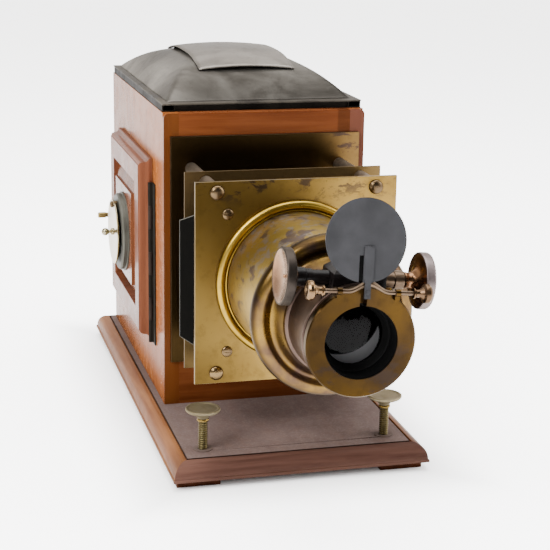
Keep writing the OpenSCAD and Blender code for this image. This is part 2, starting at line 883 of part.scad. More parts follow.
// Turning latch: a small knob outside and a tongue behind the side board.
module door_latch() {
    color("#c8a850") on_door() translate([0, latch_y, 0]) {
        tongue = -(wall + door_gap + 0.3);
        translate([0, 0, tongue - 1.6]) cylinder(r = 1.6, h = door_t + 2 - tongue + 1.6);
        translate([-1.6, -1.6, tongue - 1.6]) cube([14, 3.2, 1.6]);
        turned([[0, door_t + 0.2], [2.6, door_t + 0.2], [2.6, door_t + 1], [2, door_t + 1.6], [2, door_t + 7],
            [2.5, door_t + 7.6], [2.5, door_t + 13.6], [2, door_t + 14.4], [0, door_t + 14.4]]);
    }
}

// ---- sight hole ----

sight_r = 25;
sight_x = -1.6;
bezel_z = 11.6;
bezel_h = 5.6;
pivot_x = 24;
cover_z = bezel_z + bezel_h + 2.3;
cover_t = 1.6;

module on_sight() {
    on_door() translate([sight_x, 0, 0]) children();
}

module sight_bezel() {
    color("#7d8078") on_sight() turned([[sight_r - 2, bezel_z], [34.2, bezel_z], [34.2, bezel_z + 1],
        [33, bezel_z + 1.6], [33, bezel_z + bezel_h - 1.2], [31.8, bezel_z + bezel_h],
        [sight_r - 2, bezel_z + bezel_h]]);
}

module sight_glass() {
    color("#2c3c58") on_sight() translate([0, 0, bezel_z - 3]) cylinder(r = sight_r, h = 3);
}

module sight_pivot() {
    color("#7a5c34") on_sight() translate([pivot_x, 0, 0]) {
        translate([0, 0, bezel_z + bezel_h]) cylinder(r = 3, h = 2.2);
        translate([0, 0, bezel_z + bezel_h]) cylinder(r = 1.4, h = 5.4);
        translate([0, 0, cover_z + cover_t + 0.1]) screw_dome(2.8, 2.2);
    }
}

module sight_cover() {
    z = cover_z + cover_t;
    color("#d8cfae") on_sight() {
        difference() {
            turned([[0, cover_z], [27.2, cover_z], [28, cover_z + 0.4], [28, z - 0.2], [27.6, z], [0, z]]);
            translate([pivot_x, 0, cover_z - 1]) cylinder(r = 1.4 + fit, h = 10);
        }
        turned(concat([[0, z], [2.8, z], [2.8, z + 1.4], [1.5, z + 2], [1.3, z + 3.4]],
            arc(0, z + 6.4, 3.3, -62, 90, 8)));
    }
}

// ---- levelling screws ----

head_z = 53;
head_r = 13;
collar_z = head_z - 8.6;

module screw_shank(side) {
    color("#8f8048") translate([side * screw_x, screw_y, 0])
        turned([[0, 1.2], [2.4, 1.2], [screw_r, 2.6], [screw_r, collar_z - 0.2], [2, collar_z - 0.2],
            [2, head_z - 3], [0, head_z - 3]]);
}

// Dished round head over a cone and a small collar.
module screw_head(side) {
    color("#9a8d62") translate([side * screw_x, screw_y, 0])
        turned([[2 + fit, collar_z], [3.9, collar_z], [5, collar_z + 2.6], [7.4, collar_z + 4.4],
            [head_r - 0.6, head_z - 2.6], [head_r, head_z - 1.8], [head_r, head_z - 0.4],
            [head_r - 0.6, head_z], [head_r - 1.4, head_z], [head_r - 2, head_z - 0.5],
            [0, head_z - 0.8], [0, head_z - 2.9], [2 + fit, head_z - 2.9]]);
}

module screw_shank_left() screw_shank(-1);
module screw_head_left() screw_head(-1);
module screw_shank_right() screw_shank(1);
module screw_head_right() screw_head(1);

base_board();
base_moulding();
base_feet();
screw_bushes();
side_board_left();
side_board_right();
front_rails();
front_panel();
back_frame();
tin_lining();
tray_runners();
back_plate();
middle_plate();
front_plate();
stage_pillars();
pillar_heads();
guide_pins();
guide_screws();
pressure_plate();
stage_springs();
condenser_cell();
condenser_rings();
condenser_lens_rear();
condenser_lens_front();
tube_flange();
front_tube();
tube_shoulder();
lens_jacket();
pinion_housing();
lens_tube();
focus_rack();
lens_hood();
front_lens();
rear_lens();
focus_pinion();
focus_knobs();
flasher_lugs();
flasher_rod();
flasher_nuts();
flasher_disc();
roof_dome();
roof_frame();
roof_cap();
cap_posts();
door_frame();
door_moulding();
door_panel();
door_hinge_leaf();
body_hinge_leaf();
hinge_pin();
door_latch();
sight_bezel();
sight_glass();
sight_pivot();
sight_cover();
screw_shank_left();
screw_head_left();
screw_shank_right();
screw_head_right();
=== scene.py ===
"""Looks of the magic lantern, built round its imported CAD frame.

Lengths in this script are millimetres, turned into metres where a mesh is made. "Forward" is the
distance in front of the lamp house, along -Y, as in the part's source.
"""

import json
from math import cos, exp, pi, radians, sin, sqrt, tau

import bmesh
import bpy
from mathutils import Matrix, Vector


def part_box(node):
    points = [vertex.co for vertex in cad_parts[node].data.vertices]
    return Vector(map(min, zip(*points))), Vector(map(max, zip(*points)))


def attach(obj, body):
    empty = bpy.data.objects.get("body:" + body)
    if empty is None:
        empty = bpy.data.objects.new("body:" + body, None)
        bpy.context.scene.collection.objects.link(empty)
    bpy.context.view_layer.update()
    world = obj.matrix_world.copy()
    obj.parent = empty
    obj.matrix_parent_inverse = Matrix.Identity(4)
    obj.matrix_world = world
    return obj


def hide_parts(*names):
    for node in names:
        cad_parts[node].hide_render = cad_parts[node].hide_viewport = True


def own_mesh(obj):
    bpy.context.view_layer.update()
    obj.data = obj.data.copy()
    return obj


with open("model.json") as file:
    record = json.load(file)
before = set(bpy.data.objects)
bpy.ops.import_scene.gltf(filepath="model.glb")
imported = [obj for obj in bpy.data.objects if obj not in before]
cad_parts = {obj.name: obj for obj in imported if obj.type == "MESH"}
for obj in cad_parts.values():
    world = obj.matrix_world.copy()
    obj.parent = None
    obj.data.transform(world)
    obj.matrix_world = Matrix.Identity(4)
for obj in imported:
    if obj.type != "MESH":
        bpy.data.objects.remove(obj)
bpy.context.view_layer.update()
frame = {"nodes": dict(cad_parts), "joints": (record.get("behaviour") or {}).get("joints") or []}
NODES = frame["nodes"]
BOXES = {name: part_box(name) for name in NODES}
JOINTS = {j["name"]: j for j in frame["joints"]}
MM = 0.001


# ---- where things are, from the frame ----

def low(node):
    return BOXES[node][0] / MM


def high(node):
    return BOXES[node][1] / MM


def middle(node):
    return (low(node) + high(node)) / 2


def size(node):
    return high(node) - low(node)


def reach(node):
    """Forward distances at which a node starts and ends."""
    return -high(node).y, -low(node).y


def frame_matrix(right, up, origin):
    """Columns: right, up and their cross product, at an origin in mm."""
    forward = right.cross(up)
    m = Matrix((right, up, forward)).transposed().to_4x4()
    m.translation = origin * MM
    return m


# Where the optical axis of the tube meets the plane Y = 0
AXIS_POINT = Vector((0, 0, middle("front_plate").z))
# The lens barrel is turned a little about its axis, and its pinion slopes along this
LEAN_X = Vector(JOINTS["focus_turn"]["axis"]).normalized()
ROW = Matrix.Identity(4)
# local X sideways, Y up, Z forward
STAGE = frame_matrix(Vector((1, 0, 0)), Vector((0, 0, 1)), AXIS_POINT)
MOUNT = frame_matrix(LEAN_X, LEAN_X.cross(Vector((0, 1, 0))), AXIS_POINT)


def local(place, x=0.0, y=0.0, z=0.0):
    return place @ Matrix.Translation(Vector((x, y, z)) * MM)


def turned_to_x(place, side=1):
    """The local Z axis turned along +X or -X of a placement."""
    return place @ Matrix.Rotation(side * pi / 2, 4, "Y")


# ---- meshes ----

def dress(mesh, material, sharp=32):
    """One material, and smooth shading that breaks at edges over an angle in degrees."""
    mesh.materials.clear()
    mesh.materials.append(material)
    mesh.shade_smooth()
    mesh.set_sharp_from_angle(angle=radians(sharp))


def piece(name, points, faces, material, body, place=ROW, sharp=32):
    """A mesh object on a body, from points in mm in a placement."""
    mesh = bpy.data.meshes.new(name)
    mesh.from_pydata([place @ (Vector(p) * MM) for p in points], [], faces)
    mesh.validate()
    bm = bmesh.new()
    bm.from_mesh(mesh)
    bmesh.ops.remove_doubles(bm, verts=bm.verts, dist=1e-6)
    bmesh.ops.recalc_face_normals(bm, faces=bm.faces)
    bm.to_mesh(mesh)
    bm.free()
    obj = bpy.data.objects.new(name, mesh)
    bpy.context.scene.collection.objects.link(obj)
    dress(mesh, material, sharp)
    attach(obj, body)
    return obj


def rounded(corners, steps=5):
    """An outline with round corners, from (x, y) or (x, y, rounding) corners of a closed loop."""
    points = []
    count = len(corners)
    for i, corner in enumerate(corners):
        here = Vector(corner[:2])
        if len(corner) < 3:
            points.append(tuple(here))
            continue
        before = Vector(corners[i - 1][:2]) - here
        after = Vector(corners[(i + 1) % count][:2]) - here
        cut = min(corner[2], before.length * 0.49, after.length * 0.49)
        a, b = here + before.normalized() * cut, here + after.normalized() * cut
        for k in range(steps + 1):
            t = k / steps
            points.append(tuple(a * (1 - t) ** 2 + here * 2 * t * (1 - t) + b * t * t))
    return points


def skin(rows, count, closed=False):
    """Faces between rows of points, where each row is a loop of count points."""
    faces = []
    for k in range(rows if closed else rows - 1):
        here, there = k * count, (k + 1) % rows * count
        for i in range(count):
            j = (i + 1) % count
            faces.append((here + i, here + j, there + j, there + i))
    return faces


def end_faces(rows, count):
    """One face over the first row and one over the last."""
    last = (rows - 1) * count
    return [tuple(range(count)), tuple(last + i for i in range(count))]


def lathe(name, outline, place, material, body, around=112, sharp=32, gap=None):
    """A closed (radius, height) outline turned about the local Z axis.

    gap: (middle, width) in degrees of a part that is left open.
    """
    points = []
    start, angle, rows = 0, 360, around
    if gap:
        start, angle, rows = gap[0] + gap[1] / 2, 360 - gap[1], around + 1
    for k in range(rows):
        a = radians(start + angle * k / around)
        points += [(r * cos(a), r * sin(a), z) for r, z in outline]
    faces = skin(rows, len(outline), closed=not gap)
    if gap:
        faces += end_faces(rows, len(outline))
    return piece(name, points, faces, material, body, place, sharp)


BOX_FACES = [(0, 1, 3, 2), (4, 6, 7, 5), (0, 4, 5, 1), (2, 3, 7, 6), (0, 2, 6, 4), (1, 5, 7, 3)]


def block(name, lo, hi, material, body, place, edge):
    """A box with softened edges."""
    points = [(x, y, z) for x in (lo[0], hi[0]) for y in (lo[1], hi[1]) for z in (lo[2], hi[2])]
    soften(piece(name, points, BOX_FACES, material, body, place), edge)


def soften(obj, width, weld=False):
    """Rounds the sharp edges over a width in mm and keeps the flat faces flat."""
    if weld:
        obj.modifiers.new("weld", "WELD").merge_threshold = 1e-6
    bevel = obj.modifiers.new("edges", "BEVEL")
    bevel.width = width * MM
    bevel.segments = 3
    bevel.limit_method = "ANGLE"
    bevel.angle_limit = radians(40)
    obj.modifiers.new("flat_faces", "WEIGHTED_NORMAL").keep_sharp = True


def sweep(name, path, section, material, body, place):
    """A section of (u, v) points carried along a path of (point, u axis, v axis)."""
    points = [p + a * u + b * v for p, a, b in path for u, v in section]
    faces = skin(len(path), len(section)) + end_faces(len(path), len(section))
    return piece(name, points, faces, material, body, place, 40)


def circle(radius, around):
    return [(radius * cos(tau * i / around), radius * sin(tau * i / around)) for i in range(around)]


def arc(cx, cy, radius, start, end, steps=12):
    """Points on a circle from one angle in degrees to another."""
    angles = [radians(start + (end - start) * i / steps) for i in range(steps + 1)]
    return [(cx + radius * cos(a), cy + radius * sin(a)) for a in angles]


# ---- materials ----

RANGE_SOCKETS = ("From Min", "From Max", "To Min", "To Max")


class Paint:
    """A material and short calls for its nodes. Coordinates are the row frame, in metres."""

    def __init__(self, name, **sockets):
        self.material = bpy.data.materials.new(name)
        self.material.use_nodes = True
        self.tree = self.material.node_tree
        self.tree.nodes.clear()
        output = self.tree.nodes.new("ShaderNodeOutputMaterial")
        self.shader = self.tree.nodes.new("ShaderNodeBsdfPrincipled")
        self.tree.links.new(self.shader.outputs[0], output.inputs[0])
        for socket, value in sockets.items():
            self.shader.inputs[socket.replace("_", " ")].default_value = value
        self.place = self.node("ShaderNodeTexCoord").outputs["Object"]

    def node(self, kind, **settings):
        n = self.tree.nodes.new(kind)
        for key, value in settings.items():
            setattr(n, key, value)
        return n

    def put(self, n, socket, value):
        if isinstance(value, bpy.types.NodeSocket):
            self.tree.links.new(value, n.inputs[socket])
        else:
            n.inputs[socket].default_value = value

    def stretched(self, scale, turn=(0, 0, 0)):
        n = self.node("ShaderNodeMapping")
        self.put(n, "Vector", self.place)
        self.put(n, "Scale", scale)
        self.put(n, "Rotation", [radians(t) for t in turn])
        return n.outputs[0]

    def noise(self, scale, detail=4.0, rough=0.55, at=None, bend=0.0):
        n = self.node("ShaderNodeTexNoise")
        self.put(n, "Vector", at or self.place)
        self.put(n, "Scale", scale)
        self.put(n, "Detail", detail)
        self.put(n, "Roughness", rough)
        self.put(n, "Distortion", bend)
        return n.outputs["Fac"]

    def ramp(self, value, start, end, low_value=0.0, high_value=1.0):
        """Maps start..end of a value to low_value..high_value, smoothly."""
        n = self.node("ShaderNodeMapRange", interpolation_type="SMOOTHSTEP")
        self.put(n, "Value", value)
        for socket, v in zip(RANGE_SOCKETS, (start, end, low_value, high_value)):
            self.put(n, socket, v)
        return n.outputs[0]

    def sum(self, kind, a, b):
        n = self.node("ShaderNodeMath", operation=kind)
        self.put(n, 0, a)
        self.put(n, 1, b)
        return n.outputs[0]

    def mix(self, amount, a, b, kind="MIX"):
        n = self.node("ShaderNodeMix", data_type="RGBA", blend_type=kind)
        for socket, v in ((0, amount), (6, a), (7, b)):
            if isinstance(v, tuple) and len(v) == 3:
                v = (*v, 1)
            self.put(n, socket, v)
        return n.outputs[2]

    def gray(self, value):
        n = self.node("ShaderNodeCombineColor")
        for channel in ("Red", "Green", "Blue"):
            self.put(n, channel, value)
        return n.outputs[0]

    def axis(self, name):
        n = self.node("ShaderNodeSeparateXYZ")
        self.put(n, 0, self.place)
        return n.outputs[name]

    def facing(self, name):
        """Part of the surface normal along a row axis."""
        n = self.node("ShaderNodeSeparateXYZ")
        geometry = self.node("ShaderNodeNewGeometry")
        self.put(n, 0, geometry.outputs["Normal"])
        return n.outputs[name]

    def color(self, value):
        self.put(self.shader, "Base Color", value)

    def rough(self, value):
        self.put(self.shader, "Roughness", value)

    def bump(self, height, strength, distance):
        """Stacks on any bump set before."""
        n = self.node("ShaderNodeBump")
        self.put(n, "Height", height)
        self.put(n, "Strength", strength)
        self.put(n, "Distance", distance * MM)
        links = self.shader.inputs["Normal"].links
        if links:
            self.tree.links.new(links[0].from_socket, n.inputs["Normal"])
        self.put(self.shader, "Normal", n.outputs[0])


# The studio light is strong, for a white floor, so surfaces are darker than they look in it.
SHADE = 0.28


def srgb(r, g, b):
    """Linear colour of a surface that should look like an 8-bit one in this light."""
    return tuple(SHADE * ((c / 255 + 0.055) / 1.055) ** 2.4 for c in (r, g, b))


def dimmed(colour, share):
    return tuple(c * share for c in colour)


def shaded(p, tone, fades):
    """Tone that changes along row axes. fades: (axis, start mm, end mm, share at start, share at end)."""
    for axis, start, end, at_start, at_end in fades:
        share = p.ramp(p.axis(axis), start * MM, end * MM, at_start, at_end)
        tone = p.mix(1.0, tone, p.gray(share), "MULTIPLY")
    return tone


def distance(p, place, point):
    """Distance of a texture place from a point in mm, in metres."""
    n = p.node("ShaderNodeVectorMath", operation="DISTANCE")
    p.put(n, 0, place)
    p.put(n, 1, point * MM)
    return n.outputs["Value"]


def wood(name, light, dark, grain, gloss=0.24, figure=1.0, dust=None, shine=0.3, fades=(), end=None):
    """Mahogany. grain is the axis along the grain, figure the contrast of its streaks.

    dust: colour of the dust on faces that look up. end: (mm, colour) of a board's front end along Y.
    """
    p = Paint(name, Coat_Weight=shine, Coat_Roughness=0.12, Coat_IOR=1.08, Specular_IOR_Level=0.008)
    streak = p.noise(8, 7, 0.6, p.stretched([1.0 if axis == grain else 15.0 for axis in "XYZ"]), 0.25)
    cloud = p.noise(9, 2, 0.5, p.stretched([0.5 if axis == grain else 1.8 for axis in "XYZ"]), 0.4)
    pores = p.noise(70, 4, 0.7, p.stretched([0.9 if axis == grain else 26 for axis in "XYZ"]))
    scuffs = p.noise(55, 6, 0.72, bend=0.4)
    tone = p.mix(p.ramp(streak, 0.30, 0.70, 0.5 - 0.5 * figure, 0.5 + 0.5 * figure), dark, light)
    tone = p.mix(p.ramp(cloud, 0.35, 0.8, 0.0, 0.4 * figure), tone, dimmed(dark, 0.6))
    tone = p.mix(p.ramp(pores, 0.60, 0.72, 0.0, 0.4), tone, dimmed(dark, 0.35))
    tone = p.mix(p.ramp(scuffs, 0.68, 0.76, 0.0, 0.35), tone, dimmed(dark, 0.3))
    tone = p.mix(p.ramp(scuffs, 0.24, 0.30, 0.25, 0.0), tone, tuple(min(1, c * 1.6 + 0.01) for c in light))
    if end:
        place, colour = end
        tone = p.mix(p.ramp(p.axis("Y"), place * MM, (place + 1) * MM, 0.75, 0.0), tone, colour)
    rough = p.ramp(scuffs, 0.35, 0.7, gloss, gloss + 0.12)
    if dust:
        film = p.noise(90, 8, 0.8)
        grains = p.noise(620, 2, 0.6)
        up = p.ramp(p.facing("Z"), 0.55, 0.98)
        amount = p.sum("MULTIPLY", up, p.ramp(film, 0.25, 0.65, 0.62, 0.9))
        pale_dust = tuple(min(1, c * 1.7) for c in dust)
        speckled = p.mix(p.ramp(grains, 0.45, 0.7, 0.0, 0.35), dust, pale_dust)
        tone = p.mix(amount, tone, speckled)
        rough = p.sum("ADD", rough, p.sum("MULTIPLY", up, 0.4))
    p.color(shaded(p, tone, fades))
    p.rough(rough)
    p.bump(pores, 0.12, 0.06)
    p.bump(streak, 0.06, 0.12)
    return p


def brass(name, clean, tarnish, amount=0.5, rough=0.26, spots=0.3, brushed=None, scale=1.0, blotch=14,
          fades=(), stain=None, worn=None, rings=()):
    """Old brass. amount is the share that is tarnished, brushed an axis with fine lines across it.

    stain, worn: flecks of a colour, as (axis, mm where they start, mm where they are full, colour).
    rings: tone by the distance from the optical axis, as (mm, mm, share, share).
    """
    p = Paint(name, Metallic=1.0, Specular_Tint=(0.8, 0.75, 0.7, 1))
    cloud = p.noise(blotch * scale, 4, 0.55, bend=0.4)
    fine = p.noise(130 * scale, 5, 0.65)
    freckle = p.noise(380 * scale, 3, 0.6)
    middle_point = 0.72 - 0.44 * amount
    tone = p.mix(p.ramp(cloud, middle_point - 0.2, middle_point + 0.2), clean, tarnish)
    tone = p.mix(p.ramp(fine, 0.50, 0.68, 0.0, 0.28), tone, dimmed(tarnish, 0.6))
    freckles = p.ramp(freckle, 0.70 - 0.05 * spots, 0.76, 0.0, 0.75 * spots)
    tone = p.mix(freckles, tone, dimmed(tarnish, 0.2))
    for change, grain, start in ((worn, 95, 0.50), (stain, 46, 0.53)):
        if change:
            axis, none_at, full_at, colour = change
            flecks = p.noise(grain, 6, 0.7, p.stretched((1, 1, 1.8), (0, 35, 0)), 0.3)
            marks = p.ramp(flecks, start, start + 0.07)
            where = p.ramp(p.axis(axis), none_at * MM, full_at * MM, 0.0, 0.8)
            tone = p.mix(p.sum("MULTIPLY", marks, where), tone, colour)
    for inner, outer, at_inner, at_outer in rings:
        off_axis = distance(p, p.stretched((1, 0, 1)), AXIS_POINT)
        share = p.ramp(off_axis, inner * MM, outer * MM, at_inner, at_outer)
        tone = p.mix(1.0, tone, p.gray(share), "MULTIPLY")
    p.color(shaded(p, tone, fades))
    grime = p.ramp(fine, 0.45, 0.75, 0.0, 0.06)
    p.rough(p.sum("ADD", p.ramp(cloud, 0.3, 0.75, rough - 0.03, rough + 0.07), grime))
    if brushed:
        lines = p.noise(60, 6, 0.7, p.stretched([30 if axis == brushed else 1.2 for axis in "XYZ"]))
        p.bump(lines, 0.05, 0.04)
    p.bump(fine, 0.05, 0.05)
    return p


def tin(name, light, dark, rough=0.5, metal=0.55, stains=0.5, fades=()):
    """Dull sheet metal with stains and a little rust."""
    p = Paint(name, Metallic=metal, Specular_IOR_Level=0.08, Specular_Tint=(0.4, 0.4, 0.4, 1))
    cloud = p.noise(16, 7, 0.6, bend=0.6)
    fine = p.noise(120, 6, 0.7)
    runs = p.noise(30, 6, 0.65, p.stretched((5, 0.8, 5)))
    tone = p.mix(p.ramp(cloud, 0.3, 0.7), dark, light)
    tone = p.mix(p.ramp(runs, 0.52, 0.75, 0.0, 0.5 * stains), tone, dimmed(dark, 0.4))
    tone = p.mix(p.ramp(fine, 0.60, 0.74, 0.0, 0.5 * stains), tone, srgb(84, 66, 50))
    p.color(shaded(p, tone, fades))
    grime = p.ramp(fine, 0.45, 0.7, 0.0, 0.1)
    p.rough(p.sum("ADD", p.ramp(cloud, 0.3, 0.7, rough - 0.07, rough + 0.08), grime))
    p.bump(cloud, 0.10, 0.9)
    p.bump(fine, 0.10, 0.08)
    return p


def black_paint(name, tone=(20, 19, 18), rough=0.4, wear=0.3, under=(120, 96, 60), shine=0.05):
    """Black varnish, worn to the metal in places."""
    p = Paint(name, Specular_IOR_Level=shine)
    cloud = p.noise(40, 5, 0.6)
    fine = p.noise(230, 5, 0.7)
    worn = p.ramp(p.noise(90, 7, 0.75), 0.70 - 0.05 * wear, 0.76, 0.0, wear)
    base = srgb(*tone)
    p.color(p.mix(worn, p.mix(p.ramp(cloud, 0.3, 0.75), base, dimmed(base, 1.6)), srgb(*under)))
    grime = p.ramp(fine, 0.45, 0.7, 0.0, 0.1)
    p.rough(p.sum("ADD", p.ramp(cloud, 0.3, 0.7, rough - 0.05, rough + 0.1), grime))
    p.bump(fine, 0.10, 0.05)
    return p


def glass(name, tint, rough=0.02, ior=1.2):
    """Clear glass with faint smears. Coated, so that it mirrors little of the room."""
    p = Paint(name, Transmission_Weight=1.0, IOR=ior)
    smear = p.noise(60, 5, 0.6)
    p.color(p.mix(p.ramp(smear, 0.4, 0.7, 0.0, 0.12), tint, dimmed(tint, 0.9)))
    p.rough(p.ramp(smear, 0.45, 0.75, rough, rough + 0.06))
    return p


def coated_lens(name):
    """Dark glass with a pale crescent of painted reflection: inside one circle and outside another."""
    p = Paint(name, IOR=1.12, Roughness=0.02)
    shares = []
    for x, z, r, inner, outer in ((0, -1.3, 18.6, 1, 0), (-8.9, 15.6, 28.2, 0, 1)):
        off_centre = distance(p, p.place, middle("front_lens") + Vector((x, 0, z)))
        shares.append(p.ramp(off_centre, (r - 0.5) * MM, (r + 0.7) * MM, inner, outer))
    # The pale crescent is a painted reflection in the glass.
    painted_reflection = p.sum("MULTIPLY", *shares)
    specks = p.ramp(p.noise(900, 2, 0.5), 0.79, 0.81, 0.0, 0.16)
    share = p.sum("MAXIMUM", painted_reflection, specks)
    reflection_tone = p.mix(p.noise(160, 4, 0.6), (0.05, 0.05, 0.052), (0.062, 0.062, 0.064))
    p.color(p.mix(share, (0.012, 0.012, 0.014), reflection_tone))
    p.put(p.shader, "Transmission Weight", p.sum("SUBTRACT", 1.0, p.sum("MULTIPLY", share, 0.8)))
    return p


side_wood = wood("side_wood", srgb(214, 130, 68), srgb(168, 90, 42), "Z", 0.2, 0.5, shine=0.18,
                 fades=(("Y", 250, 60, 0.72, 1.0),), end=(1.5, srgb(96, 50, 20)))
front_wood = wood("front_wood", srgb(170, 98, 54), srgb(120, 60, 30), "X", 0.26, 0.8,
                  fades=(("Z", 46, 60, 0.8, 1.0), ("X", 58, 60, 1.0, 0.6)))
right_wood = wood("right_wood", srgb(196, 116, 66), srgb(150, 80, 42), "Z", 0.22, 0.5, shine=0.4,
                  fades=(("Y", 20, 255, 1.0, 0.7),), end=(1.5, srgb(126, 80, 70)))
back_wood = wood("back_wood", srgb(128, 72, 44), srgb(84, 44, 28), "Z", 0.34, 0.8)
door_wood = wood("door_wood", srgb(176, 108, 76), srgb(130, 70, 46), "Z", 0.26, 0.7)
door_rail_wood = wood("door_rail_wood", srgb(176, 108, 76), srgb(130, 70, 46), "Y", 0.26, 0.7)
panel_wood = wood("panel_wood", srgb(170, 104, 70), srgb(122, 66, 42), "Z", 0.22, 0.7, shine=0.5)
# The fades of base_wood are the dark joint between the board and its moulding
base_wood = wood("base_wood", srgb(138, 96, 76), srgb(92, 58, 46), "Y", 0.36, dust=srgb(150, 130, 124),
                 shine=0.1, fades=(("Y", -118.4, -117.4, 0.15, 1.0), ("X", -86.3, -85.5, 0.3, 1.0),
                                   ("X", 85.5, 86.3, 1.0, 0.3)))
base_front_wood = wood("base_front_wood", srgb(136, 98, 84), srgb(90, 61, 52), "X", 0.3, 0.9, shine=0.2,
                       fades=(("X", -98, -60, 1.4, 1.0),))
base_side_wood = wood("base_side_wood", srgb(198, 134, 86), srgb(146, 86, 50), "Y", 0.28, 0.8, shine=0.2,
                      fades=(("Y", -126, -84, 0.7, 1.0),))

# The fades are painted light: darker towards the front as painted shade, lighter at the left as painted
# reflection of the room.
roof_tin = tin("roof_tin", srgb(186, 180, 170), srgb(122, 116, 108), 0.42, 0.85,
               fades=(("Y", 14, 96, 0.3, 1.0), ("X", -76, -44, 1.9, 1.0)))
cap_tin = tin("cap_tin", srgb(204, 196, 186), srgb(160, 152, 142), 0.44, 0.8)
# The fade is a painted shadow on the skirts under the rim.
frame_tin = tin("frame_tin", srgb(126, 118, 106), srgb(70, 64, 58), 0.5,
                fades=(("Z", 261.4, 262.2, 0.22, 1.0),))
black_tin = black_paint("black_tin", (18, 17, 16), 0.6, 0.15)

stain_purple = srgb(96, 80, 82)
# The fades are painted reflection: darker to the left and the top, lighter to the right, a little darker at
# the bottom.
plate_brass = brass("plate_brass", srgb(250, 204, 110), srgb(212, 166, 84), 0.45, 0.38, 0.6, "Z", blotch=9,
                    fades=(("X", -80, 60, 0.3, 1.2), ("Z", 222, 130, 0.64, 1.0), ("Z", 120, 70, 1.0, 0.86)),
                    stain=("Z", 196, 220, stain_purple))
back_brass = brass("back_brass", srgb(214, 170, 100), srgb(178, 138, 84), 0.5, 0.3, 0.3, "Z", blotch=9,
                   fades=(("X", 34, 74, 0.15, 0.75),), stain=("X", 45, 60, stain_purple))
mid_brass = brass("mid_brass", srgb(214, 176, 112), srgb(178, 144, 96), 0.5, 0.5, 0.3, "Z", blotch=9,
                  fades=(("X", 34, 74, 0.45, 0.8),))
ring_brass = brass("ring_brass", srgb(240, 198, 84), srgb(200, 154, 60), 0.3, 0.3, 0.1)
tube_brass = brass("tube_brass", srgb(240, 202, 96), srgb(222, 182, 112), 0.5, 0.4, 0.4, blotch=12,
                   stain=("X", 66, -20, srgb(118, 100, 110)), worn=("Z", 146, 190, srgb(214, 202, 194)))
# The rings paint the roll's outer edge dark, as painted reflection, and the hollow dark, as painted shade.
shoulder_brass = brass("shoulder_brass", srgb(206, 162, 72), srgb(112, 88, 84), 0.58, 0.29, 0.2, blotch=30,
                       rings=((53.2, 57.2, 1.0, 0.2), (39, 47, 0.42, 0.92)))
barrel_brass = brass("barrel_brass", srgb(140, 116, 102), srgb(92, 76, 72), 0.5, 0.32, 0.3, blotch=24)
hood_brass = brass("hood_brass", srgb(100, 74, 34), srgb(70, 54, 38), 0.5, 0.3, 0.6, blotch=22,
                   fades=(("Z", 112, 176, 0.82, 1.08), ("X", -44, 30, 0.66, 1.05)),
                   stain=("Z", 170, 112, srgb(70, 58, 52)))
knob_brass = brass("knob_brass", srgb(216, 160, 112), srgb(138, 102, 80), 0.5, 0.24, 0.25, scale=1.6)
# Two tones of one rim, painted reflection: dark for the left knob, pale for the right.
rim_painted_dark = brass("rim_painted_dark", srgb(84, 76, 70), srgb(60, 54, 50), 0.5, 0.46, 0.3, scale=1.6)
rim_painted_pale = brass("rim_painted_pale", srgb(176, 160, 158), srgb(140, 126, 124), 0.5, 0.46, 0.3,
                       scale=1.6)
screw_top_brass = brass("screw_top_brass", srgb(212, 196, 160), srgb(172, 156, 122), 0.5, 0.6, 0.4,
                        scale=1.5)
gear_brass = brass("gear_brass", srgb(196, 160, 92), srgb(130, 100, 58), 0.4, 0.26, 0.2, scale=2)
screw_brass = brass("screw_brass", srgb(172, 158, 112), srgb(120, 104, 68), 0.5, 0.34, 0.3, scale=1.5)
small_brass = brass("small_brass", srgb(236, 206, 132), srgb(176, 142, 88), 0.35, 0.34, 0.2, scale=2)
head_brass = brass("head_brass", srgb(172, 142, 98), srgb(112, 92, 74), 0.5, 0.26, 0.3, scale=2)
pillar_brass = brass("pillar_brass", srgb(206, 188, 164), srgb(150, 132, 114), 0.55, 0.42, 0.5, scale=1.6)
edge_brass = brass("edge_brass", srgb(206, 184, 136), srgb(150, 128, 92), 0.4, 0.3, 0.2, scale=2)
dim_edge = brass("dim_edge", srgb(112, 96, 72), srgb(76, 64, 48), 0.4, 0.4, 0.1, scale=2)
nut_brass = brass("nut_brass", srgb(180, 144, 104), srgb(118, 92, 72), 0.5, 0.26, 0.2, scale=2)
dusty_bush = black_paint("dusty_bush", (126, 108, 100), 0.6, 0.1, (84, 70, 62), shine=0.01)
worn_black = black_paint("worn_black", (120, 116, 106), 0.4, 0.4, (60, 56, 48))
collar_brass = brass("collar_brass", srgb(214, 176, 96), srgb(150, 118, 60), 0.4, 0.26, 0.2, scale=2)
cover_brass = brass("cover_brass", srgb(236, 226, 190), srgb(190, 168, 120), 0.3, 0.14, 0.15)
rod_metal = brass("rod_metal", srgb(160, 136, 112), srgb(106, 86, 72), 0.45, 0.32, 0.25, scale=2)
steel = brass("steel", srgb(176, 170, 162), srgb(118, 110, 102), 0.4, 0.3, 0.3, scale=2)
bezel_zinc = tin("bezel_zinc", srgb(150, 148, 136), srgb(112, 110, 100), 0.4, 0.5, 0.3)
blade = black_paint("blade", (64, 64, 67), 0.5, 0.1, (60, 58, 56), shine=0.1)
housing_black = black_paint("housing_black", (22, 17, 17), 0.3, 0.1, shine=0.08)
pressure_black = black_paint("pressure_black", (15, 14, 12), 0.5, 0.3, (70, 64, 52), shine=0.01)
hinge_black = black_paint("hinge_black", (38, 34, 28), 0.5, 0.3, (100, 78, 56), shine=0.02)
hinge_brown = black_paint("hinge_brown", (58, 48, 42), 0.5, 0.3, (80, 70, 60), shine=0.02)
